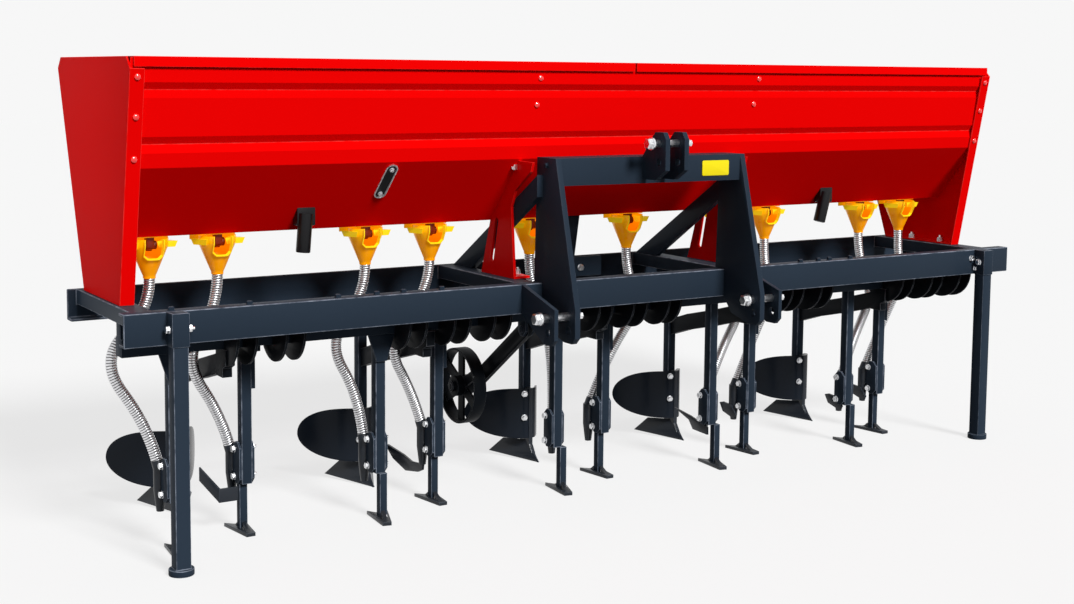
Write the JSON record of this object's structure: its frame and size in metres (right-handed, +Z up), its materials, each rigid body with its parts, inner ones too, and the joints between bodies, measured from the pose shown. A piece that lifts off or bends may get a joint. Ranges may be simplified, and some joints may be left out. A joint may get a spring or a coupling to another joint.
{
  "type": "row crop cultivator",
  "caption": "Tractor-mounted row crop cultivator with a full-width fertiliser hopper, steel hoses to tine boots, ridging bodies, a three-point hitch and parking stands.",
  "frame": {"origin": "on the ground under the middle of the part's bounding box", "axes": "+X to the right along the working width, -Y towards the tractor and the hitch, +Z up"},
  "size_m": [3.72, 1.02, 1.5263],
  "materials": {
    "frame_paint": "satin",
    "hopper_paint": "gloss",
    "funnel_plastic": "gloss",
    "hose_steel": "satin",
    "zinc": "satin",
    "tool_steel": "satin",
    "boot_plastic": "matte",
    "sign_yellow": "satin"
  },
  "bodies": {
    "base": {"frame": "frame_paint", "tool_bars": "frame_paint", "hanger_plates": "frame_paint", "hitch_mast": "frame_paint", "hitch_pins": "zinc", "sign_plate": "sign_yellow", "hopper_panels": "hopper_paint", "hopper_trough": "hopper_paint", "lid_hinges": "zinc", "hopper_brackets": "hopper_paint", "funnels": "funnel_plastic", "tine_shanks": "frame_paint", "tine_legs": "frame_paint", "tine_clamps": "frame_paint", "sweeps": "tool_steel", "boots": "boot_plastic", "ridger_shanks": "frame_paint", "ridger_wings": "tool_steel", "ridger_shares": "tool_steel", "stand_sleeves": "frame_paint", "arm_bracket": "frame_paint", "unit_arms": "frame_paint", "tine_brackets": "frame_paint", "knives": "tool_steel", "drive_plate": "frame_paint", "hose_01": "hose_steel", "hose_02": "hose_steel", "hose_03": "hose_steel", "hose_04": "hose_steel", "hose_05": "hose_steel", "hose_06": "hose_steel", "hose_07": "hose_steel", "hose_08": "hose_steel", "hose_09": "hose_steel", "hose_10": "hose_steel"},
    "lid_l": {"lid_left": "hopper_paint"},
    "lid_r": {"lid_right": "hopper_paint"},
    "stand_l": {"stand_left": "frame_paint"},
    "stand_r": {"stand_right": "frame_paint"},
    "arm": {"wheel_arm": "frame_paint"},
    "wheel": {"ground_wheel": "tool_steel"}
  },
  "joints": [
    {"name": "lid_left_hinge", "type": "hinge", "parent": "base", "child": "lid_l", "pos_m": [-0.035, 0.492, 1.508], "axis": [-1, 0, 0], "range_deg": [0, 100]},
    {"name": "lid_right_hinge", "type": "hinge", "parent": "base", "child": "lid_r", "pos_m": [-0.035, 0.492, 1.508], "axis": [-1, 0, 0], "range_deg": [0, 100]},
    {"name": "stand_left_slide", "type": "slide", "parent": "base", "child": "stand_l", "axis": [0, 0, 1], "range_m": [0, 0.45]},
    {"name": "stand_right_slide", "type": "slide", "parent": "base", "child": "stand_r", "axis": [0, 0, 1], "range_m": [0, 0.45]},
    {"name": "wheel_arm_hinge", "type": "hinge", "parent": "base", "child": "arm", "pos_m": [-0.381, -0.11, 0.595], "axis": [1, 0, 0], "range_deg": [0, 10]},
    {"name": "wheel_spin", "type": "hinge", "parent": "arm", "child": "wheel", "pos_m": [-0.435, 0.254, 0.335], "axis": [1, 0, 0], "continuous": true}
  ]
}
